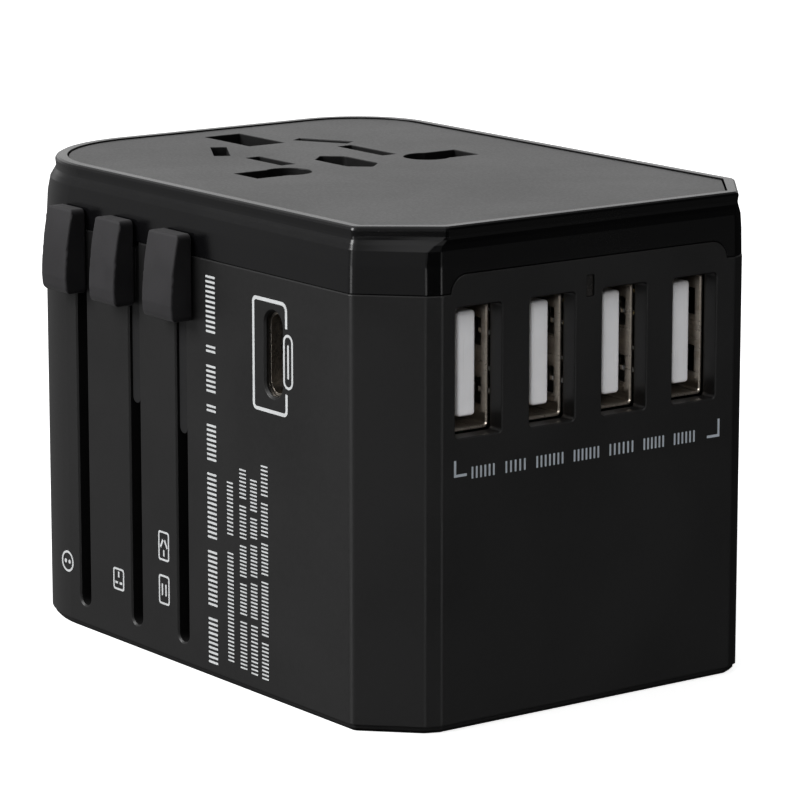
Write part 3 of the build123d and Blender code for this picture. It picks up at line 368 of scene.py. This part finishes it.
def ferrite(name):
    m, net, b, co = new_material(name, Metallic=0.0, Specular_IOR_Level=0.45)
    grain = net.noise(co, 5200.0, 4.0, 0.8)
    chip = net.span(net.voronoi(co, 900.0, "F1", "Distance"), 0.05, 0.2, 1.0, 0.0)
    col = net.mix(net.span(grain, 0.35, 0.7), (0.018, 0.018, 0.019, 1), (0.075, 0.073, 0.072, 1))
    col = net.mix(net.math("MULTIPLY", chip, 0.25), col, (0.12, 0.115, 0.11, 1))
    net.put(b.inputs["Base Color"], col)
    net.put(b.inputs["Roughness"], net.span(grain, 0.3, 0.7, 0.5, 0.75, smooth=False))
    net.put(b.inputs["Normal"], net.bump(grain, 0.5, 0.00004))
    return m


def glass_tube(name):
    m, net, b, co = new_material(name, Metallic=0.0, Specular_IOR_Level=0.5, IOR=1.5, Transmission_Weight=0.0, Coat_Weight=0.6, Coat_Roughness=0.05)
    streak = net.noise(net.mapped(co, scale=(900.0, 60.0, 900.0)), 1.0, 2.0, 0.5)
    sand = net.noise(co, 3200.0, 3.0, 0.7)
    col = net.mix(net.span(streak, 0.35, 0.7), (0.42, 0.44, 0.44, 1), (0.62, 0.64, 0.63, 1))
    col = net.mix(net.span(sand, 0.5, 0.75, 0.0, 0.5), col, (0.78, 0.76, 0.72, 1))
    net.put(b.inputs["Base Color"], col)
    net.put(b.inputs["Roughness"], net.span(sand, 0.3, 0.7, 0.08, 0.2, smooth=False))
    net.put(b.inputs["Normal"], net.bump(streak, 0.1, 0.00002))
    return m


M = {
    "shell": moulded("shell_black", 0.0132, (1.0, 0.985, 1.0), rough=0.38, spec=0.45, grain=3300.0, grain_h=0.000014, grain_s=0.4),
    "cap": moulded("cap_black", 0.0032, (1.0, 0.99, 1.15), rough=0.22, spec=0.50, grain=5200.0, grain_h=0.000005, grain_s=0.2,
                   rough_vary=0.03, soft=0.0001, hairlines=0.3),
    "face": moulded("socket_face", 0.010, (1.0, 0.985, 0.995), rough=0.40, spec=0.50, grain=3000.0, grain_h=0.00001, grain_s=0.3,
                    soft=0.0001, vary=0.06, rough_vary=0.03),
    "base": moulded("base_black", 0.012, (1.0, 0.98, 1.0), rough=0.46, spec=0.25, grain=2600.0, grain_h=0.00002, grain_s=0.5,
                    hairlines=0.6, wear=0.9),
    "lever": rubber("lever_rubber", 0.026, (1.0, 0.95, 1.04)),
    "carriage": moulded("carriage_grey", 0.014, (1.0, 1.0, 1.04), rough=0.42, spec=0.3, grain=3000.0, wear=0.7),
    "frame": moulded("frame_grey", 0.02, (1.0, 1.0, 1.03), rough=0.5, spec=0.3, grain=2800.0),
    "shutter": moulded("shutter_black", 0.010, (1.0, 1.0, 1.0), rough=0.4, spec=0.3, grain=3000.0),
    "sleeve": moulded("sleeve_black", 0.012, (1.0, 1.0, 1.0), rough=0.36, spec=0.35, grain=3800.0, wear=0.8),
    "usb": metal("usb_metal", 0.42, (1.0, 0.90, 0.78), rough=0.30, brush=(110.0, 5200.0, 4200.0), tarnish=0.45),
    "nickel": metal("pin_nickel", 0.66, (1.0, 0.975, 0.94), rough=0.22, brush=(4200.0, 4200.0, 70.0), tarnish=0.22,
                    tarnish_tint=(0.8, 0.72, 0.6), soft=0.00015),
    "zinc": metal("screw_steel", 0.5, (1.0, 1.0, 1.0), rough=0.3, brush=(2600.0, 2600.0, 200.0), tarnish=0.4,
                  tarnish_tint=(0.7, 0.68, 0.6), soft=0.0001),
    "spring": metal("spring_steel", 0.6, (1.0, 1.0, 1.0), rough=0.22, brush=(300.0, 5200.0, 5200.0), tarnish=0.2),
    "brass": metal("contact_brass", 0.72, (1.0, 0.76, 0.36), rough=0.28, brush=(4200.0, 160.0, 4200.0), tarnish=0.4,
                   tarnish_tint=(0.55, 0.36, 0.16)),
    "gold": metal("contact_gold", 0.82, (1.0, 0.78, 0.36), rough=0.2, brush=(120.0, 5200.0, 5200.0), tarnish=0.15,
                  tarnish_tint=(0.7, 0.5, 0.25)),
    "white": white_plastic("tongue_white", 0.86, (0.98, 0.98, 1.0)),
    "pipe": smoky("light_pipe"),
    "board": board("board_green"),
    "tape": wrapped("coil_tape", 0.5, (1.0, 0.78, 0.14), 900.0, 0),
    "can": wrapped("capacitor_sleeve", 0.05, (0.7, 0.8, 1.6), 180.0, 1),
    "ferrite": ferrite("ferrite"),
    "led": white_plastic("led_body", 0.75, (1.0, 0.99, 0.9)),
    "glass": glass_tube("fuse_glass"),
    "ink": ink("print_white", 0.84, (0.97, 0.99, 1.0)),
    "ink_cool": ink("print_cool", 0.84, (0.84, 0.92, 1.0)),
}

WEARS = {
    "lower_shell": "shell", "top_cap": "cap", "socket_plate": "face", "base_plate": "base", "base_screws": "zinc",
    "inner_frame": "frame", "contact_cover": "frame", "socket_shutter": "shutter", "shutter_spring": "spring",
    "live_contact": "brass", "neutral_contact": "brass", "earth_contact": "brass", "detent_springs": "spring",
    "eu_carriage": "carriage", "uk_carriage": "carriage", "us_carriage": "carriage",
    "us_rotor_line": "carriage", "us_rotor_neutral": "carriage",
    "eu_lever": "lever", "uk_lever": "lever", "us_lever": "lever",
    "eu_pins": "nickel", "uk_pins": "nickel", "us_blade_line": "nickel", "us_blade_neutral": "nickel",
    "eu_pin_sleeves": "sleeve", "uk_earth_pin": "sleeve", "usb_contacts": "gold",
    "type_c_shell": "usb", "type_c_tongue": "sleeve", "type_c_board": "board", "usb_board": "board",
    "transformer": "tape", "transformer_core": "ferrite", "capacitors": "can", "bridge_rectifier": "sleeve",
    "choke": "ferrite", "led": "led", "light_pipe": "pipe", "fuse": "glass", "fuse_caps": "nickel", "fuse_clips": "brass",
}
for i in range(1, 5):
    WEARS["usb_port_shell_%d" % i] = "usb"
    WEARS["usb_tongue_%d" % i] = "white"

for name, node in NODES.items():
    for s in node.material_slots:
        s.material = M[WEARS[name]]


# ------------------------------------------------------------------ printed marks
INK_UP, INK_IN = 0.012, 0.006


class Print:
    """Thin closed films of ink on one flat face. Points are (u, v) in mm on that face."""

    def __init__(self, plane):
        self.plane = plane
        self.v, self.f = [], []

    def at(self, u, v, out):
        if self.plane == "front":      # slider face, looking along +Y: u is X, v is Z
            return (u * MM, (-26.5 - out) * MM, v * MM)
        return ((37.0 + out) * MM, u * MM, v * MM)   # USB face: u is Y, v is Z

    def band(self, outer, inner=None):
        """A filled loop, or the band between two loops with the same number of points."""
        n = len(outer)
        o = len(self.v)
        loops = [outer] + ([inner] if inner else [])
        for h in (INK_UP, -INK_IN):
            for loop in loops:
                self.v += [self.at(u, v, h) for u, v in loop]
        k = len(loops)
        top = [o + j * n for j in range(k)]
        bot = [o + (k + j) * n for j in range(k)]
        for i in range(n):
            j = (i + 1) % n
            self.f.append((top[0] + i, bot[0] + i, bot[0] + j, top[0] + j))
            if inner:
                self.f.append((top[0] + i, top[0] + j, top[1] + j, top[1] + i))
                self.f.append((bot[0] + j, bot[0] + i, bot[1] + i, bot[1] + j))
                self.f.append((top[1] + j, bot[1] + j, bot[1] + i, top[1] + i))
        if not inner:
            self.f.append(tuple(top[0] + i for i in range(n)))
            self.f.append(tuple(bot[0] + i for i in reversed(range(n))))

    def rect(self, u0, u1, v0, v1, r=0.06, steps=2):
        self.band(rounded(u0, u1, v0, v1, r, steps))

    def line(self, pts, w, closed=False):
        """A stroke of width w through the points, mitred."""
        n = len(pts)
        left, right = [], []
        for i, (x, y) in enumerate(pts):
            dirs = []
            if i > 0 or closed:
                px, py = pts[i - 1]
                dirs.append((x - px, y - py))
            if i < n - 1 or closed:
                qx, qy = pts[(i + 1) % n]
                dirs.append((qx - x, qy - y))
            ds = [(a / math.hypot(a, b), b / math.hypot(a, b)) for a, b in dirs]
            nx, ny = -sum(d[1] for d in ds), sum(d[0] for d in ds)
            ln = math.hypot(nx, ny)
            nx, ny = nx / ln, ny / ln
            k = 1.0 / max(0.3, nx * -ds[0][1] + ny * ds[0][0])
            left.append((x + nx * w / 2 * k, y + ny * w / 2 * k))
            right.append((x - nx * w / 2 * k, y - ny * w / 2 * k))
        if closed:
            self.band(left, right)
        else:
            self.strip(left, right)

    def strip(self, a, b):
        """An open stroke between two rails."""
        n = len(a)
        o = len(self.v)
        for h in (INK_UP, -INK_IN):
            for loop in (a, b):
                self.v += [self.at(u, v, h) for u, v in loop]
        ta, tb, ba, bb = o, o + n, o + 2 * n, o + 3 * n
        for i in range(n - 1):
            self.f.append((ta + i, ta + i + 1, tb + i + 1, tb + i))
            self.f.append((ba + i + 1, ba + i, bb + i, bb + i + 1))
            self.f.append((ta + i + 1, ta + i, ba + i, ba + i + 1))
            self.f.append((tb + i, tb + i + 1, bb + i + 1, bb + i))
        self.f.append((ta, tb, bb, ba))
        self.f.append((tb + n - 1, ta + n - 1, ba + n - 1, bb + n - 1))

    def disc(self, u, v, r, n=20):
        self.band([(u + r * math.cos(2 * math.pi * i / n), v + r * math.sin(2 * math.pi * i / n)) for i in range(n)])

    def ring(self, u, v, r, w, n=28):
        c = [(math.cos(2 * math.pi * i / n), math.sin(2 * math.pi * i / n)) for i in range(n)]
        self.band([(u + (r + w / 2) * a, v + (r + w / 2) * b) for a, b in c], [(u + (r - w / 2) * a, v + (r - w / 2) * b) for a, b in c])

    def bar(self, u, v, w, h, turn=0.0):
        """A small solid blade, turned by some degrees."""
        a = math.radians(turn)
        ca, sa = math.cos(a), math.sin(a)
        pts = [(-w / 2, -h / 2), (w / 2, -h / 2), (w / 2, h / 2), (-w / 2, h / 2)]
        self.band([(u + x * ca - y * sa, v + x * sa + y * ca) for x, y in pts])

    def make(self, name, material):
        import bmesh
        mesh = bpy.data.meshes.new(name)
        mesh.from_pydata(self.v, [], self.f)
        bm = bmesh.new()
        bm.from_mesh(mesh)
        bmesh.ops.recalc_face_normals(bm, faces=bm.faces)
        bmesh.ops.triangulate(bm, faces=[f for f in bm.faces if len(f.verts) > 4])
        bm.to_mesh(mesh)
        bm.free()
        mesh.materials.append(material)
        o = bpy.data.objects.new(name, mesh)
        scene.collection.objects.link(o)
        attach(o, "housing")
        return o


def rounded(u0, u1, v0, v1, r, steps=4):
    pts = []
    for cx, cy, a0 in ((u1 - r, v1 - r, 0), (u0 + r, v1 - r, 90), (u0 + r, v0 + r, 180), (u1 - r, v0 + r, 270)):
        for i in range(steps + 1):
            a = math.radians(a0 + 90.0 * i / steps)
            pts.append((cx + r * math.cos(a), cy + r * math.sin(a)))
    return pts


def ticks(p, lane, v0, lengths, gap, height, along="v", pitch=0.50, wide=0.22):
    """A row of even ticks, broken into runs: lane is the middle of the row, v0 its start."""
    pos = v0
    for run in lengths:
        n = max(1, int(round(run / pitch)))
        step = run / n
        for i in range(n):
            c = pos + (i + 0.5) * step
            if along == "v":
                p.rect(lane - height / 2, lane + height / 2, c - wide / 2, c + wide / 2, 0.05, 1)
            else:
                p.rect(c - wide / 2, c + wide / 2, lane - height / 2, lane + height / 2, 0.05, 1)
        pos += run + gap
    return pos


# three plug pictograms beside the slider slots
marks = Print("front")
marks.ring(-23.55, 7.25, 1.10, 0.24)
marks.disc(-23.95, 7.25, 0.24)
marks.disc(-23.15, 7.25, 0.24)
marks.band(rounded(-14.05, -11.85, 6.05, 8.55, 0.35), rounded(-13.83, -12.07, 6.27, 8.33, 0.2))
marks.bar(-12.95, 7.82, 0.26, 0.66)
marks.bar(-13.38, 6.88, 0.52, 0.26)
marks.bar(-12.52, 6.88, 0.52, 0.26)
marks.band(rounded(-4.85, -2.75, 6.3, 9.6, 0.35), rounded(-4.63, -2.97, 6.52, 9.38, 0.2))
marks.bar(-4.15, 7.95, 0.26, 1.3)
marks.bar(-3.45, 7.95, 0.26, 1.3)
marks.band(rounded(-4.85, -2.75, 11.2, 14.5, 0.35), rounded(-4.63, -2.97, 11.42, 14.28, 0.2))
marks.bar(-4.2, 13.1, 0.26, 1.0, -30.0)
marks.bar(-3.4, 13.1, 0.26, 1.0, 30.0)
marks.bar(-3.8, 12.05, 0.26, 0.7)
marks.make("plug_pictograms", M["ink"])

# long index band and four short ones
band_big = Print("front")
ticks(band_big, 5.7, 1.6, (5.3, 6.3, 7.4, 4.2, 1.0, 3.2, 1.0, 6.4), 1.11, 1.75, pitch=0.53, wide=0.25)
band_big.make("index_band", M["ink"])
rows = Print("front")
ticks(rows, 9.1, 2.6, (12.2, 6.0), 1.7, 1.15, pitch=0.42, wide=0.17)
ticks(rows, 11.5, 2.3, (5.4, 3.6, 3.6, 3.8, 3.4), 0.55, 1.25, pitch=0.42, wide=0.17)
ticks(rows, 13.5, 2.1, (5.6, 4.0, 3.6, 2.4, 3.6), 0.55, 1.25, pitch=0.42, wide=0.17)
ticks(rows, 15.5, 2.0, (4.2, 6.1, 3.6, 3.8, 3.5), 0.55, 1.25, pitch=0.42, wide=0.17)
rows.make("index_rows", M["ink"])

# frame round the USB-C opening, with a connector pictogram in its gap
cf = Print("front")
X0, X1, Z0, Z1 = 13.7, 19.66, 31.3, 43.0


def arc(cx, cy, r, a0, a1, n=6):
    return [(cx + r * math.cos(math.radians(a0 + (a1 - a0) * i / n)), cy + r * math.sin(math.radians(a0 + (a1 - a0) * i / n))) for i in range(n + 1)]


path = ([(X1, 40.45)] + arc(X1 - 0.8, Z1 - 0.8, 0.8, 0, 90) + arc(X0 + 0.5, Z1 - 0.5, 0.5, 90, 180)
        + arc(X0 + 0.5, Z0 + 0.5, 0.5, 180, 270) + arc(X1 - 0.5, Z0 + 0.5, 0.5, 270, 360) + [(X1, 33.55)])
cf.line(path, 0.38)
# connector pictogram: a long rounded shell with its tongue
cf.band(rounded(19.1, 20.85, 34.1, 39.9, 0.86, 8), rounded(19.38, 20.57, 34.38, 39.62, 0.58, 8))
cf.rect(19.83, 20.12, 35.2, 38.8, 0.12, 3)
cf.make("usb_c_frame", M["ink"])

# bracket and band under the USB-A bank
ub = Print("usb")
ub.line([(-17.8, 28.5), (-17.8, 26.9), (-16.3, 26.9)], 0.28)
ub.line([(17.4, 28.45), (17.4, 26.65), (15.8, 26.65)], 0.28)
ticks(ub, 27.0, -15.85, (3.3, 3.0, 3.9, 3.7, 3.6, 3.1, 3.2), 1.05, 1.25, along="u", pitch=0.56, wide=0.23)
ub.make("usb_a_bracket", M["ink_cool"])


# ------------------------------------------------------------------ studio
def make_floor():
    size = 6.0
    mesh = bpy.data.meshes.new("floor")
    mesh.from_pydata([(-size, -size, 0), (size, -size, 0), (size, size, 0), (-size, size, 0)], [], [(0, 1, 2, 3)])
    floor = bpy.data.objects.new("floor", mesh)
    scene.collection.objects.link(floor)
    m, net, b, co = new_material("floor_white", Specular_IOR_Level=0.0)
    n = net.noise(co, 3.0, 2.0, 0.5)
    net.put(b.inputs["Base Color"], net.mix(n, (0.86, 0.86, 0.86, 1), (0.88, 0.88, 0.88, 1)))
    b.inputs["Roughness"].default_value = 0.9
    b.inputs["Emission Color"].default_value = (1, 1, 1, 1)
    b.inputs["Emission Strength"].default_value = 0.85
    mesh.materials.append(m)
    floor.visible_glossy = False
    floor.visible_diffuse = False
    return floor


make_floor()


FILL = (0.012, 0.25)
WALL = 0.59                                # pale wall behind, seen in the socket face
BLOBS = (
    # direction, inner and outer half angle, radiance
    ((-0.80, -0.58, -0.08), 15, 50, 0.015),   # broad soft box, seen in the slider face
    ((0.50, -0.85, -0.10), 10, 36, 0.20),    # the same box's end, seen in the near chamfer
    ((-0.14, -0.97, -0.16), 4, 13, 2.6),     # tall strip, seen along the near vertical edge
    ((0.85, -0.49, -0.20), 3, 10, 2.2),       # strips seen along the two softened ends of
    ((0.95, 0.24, -0.20), 3, 10, 2.2),        # the flat between chamfer and port face
    ((0.82, 0.56, -0.14), 8, 30, 0.07),      # weak fill, seen in the port face
    ((-0.05, -0.45, 0.90), 10, 60, 0.42),    # overhead
)


def make_world():
    world = bpy.data.worlds.new("studio")
    scene.world = world
    world.use_nodes = True
    tree = world.node_tree
    tree.nodes.clear()
    net = Net(tree)
    out = tree.nodes.new("ShaderNodeOutputWorld")
    bg = tree.nodes.new("ShaderNodeBackground")
    tree.links.new(bg.outputs[0], out.inputs["Surface"])
    d = net.node("ShaderNodeTexCoord").outputs["Generated"]

    def blob(direction, half_in, half_out, amount):
        """Soft patch of light around a direction; the angles are in degrees."""
        v = Vector(direction).normalized()
        dot = net.vec("DOT_PRODUCT", d, tuple(v))
        f = net.span(dot, math.cos(math.radians(half_out)), math.cos(math.radians(half_in)))
        return net.math("MULTIPLY", f, amount)

    # fill: bright from above and from the slider side, nearly dark from +X
    z = net.xyz(d)[2]
    lean = net.vec("DOT_PRODUCT", d, tuple(Vector((-0.62, -0.40, 0.68)).normalized()))
    total = net.span(lean, -0.5, 0.95, FILL[0], FILL[1])
    for args in BLOBS:
        total = net.math("ADD", total, blob(*args))
    wall = net.math("MULTIPLY", blob((-0.80, 0.58, 0.33), 12, 48, WALL), net.span(z, -0.02, 0.10))
    total = net.math("ADD", total, wall)
    tree.links.new(total, bg.inputs["Strength"])
    bg.inputs["Color"].default_value = (1.0, 1.0, 1.0, 1.0)


make_world()


def area(name, location, target, size, power, color=(1, 1, 1)):
    data = bpy.data.lights.new(name, "AREA")
    data.shape = "RECTANGLE"
    data.size, data.size_y = size
    data.energy = power
    data.color = color
    o = bpy.data.objects.new(name, data)
    scene.collection.objects.link(o)
    o.location = location
    o.rotation_mode = "QUATERNION"
    o.rotation_quaternion = (Vector(target) - Vector(location)).to_track_quat("-Z", "Y")
    return o


def lit_only(lamp, name, chosen):
    """The lamp lights the chosen objects and nothing else."""
    group = bpy.data.collections.new(name)
    for o in chosen:
        group.objects.link(o)
    lamp.light_linking.receiver_collection = group
    lamp.visible_camera = False


area("key", (-0.30, -0.75, 0.55), (0, 0, 0.03), (0.5, 0.5), 7.0)

# small lamp that looks into the ports
lit_only(area("port_lamp", (0.42, -0.34, 0.22), (0.034, 0.0, 0.0375), (0.12, 0.12), 0.95), "lit_by_port_lamp",
         [node for name, node in NODES.items() if name.startswith(("usb_", "type_c_")) and name != "usb_board"])

# soft fill for the port side of the lower shell and what is printed on it
lit_only(area("side_fill", (0.55, 0.10, 0.35), (0.03, 0.0, 0.025), (0.4, 0.4), 0.85), "lit_by_side_fill",
         [o for o in scene.objects if o.name in ("lower_shell", "light_pipe", "base_plate")
          or (o.name.startswith(("usb_", "type_c_")) and o.type == "MESH" and o.name != "usb_board")])
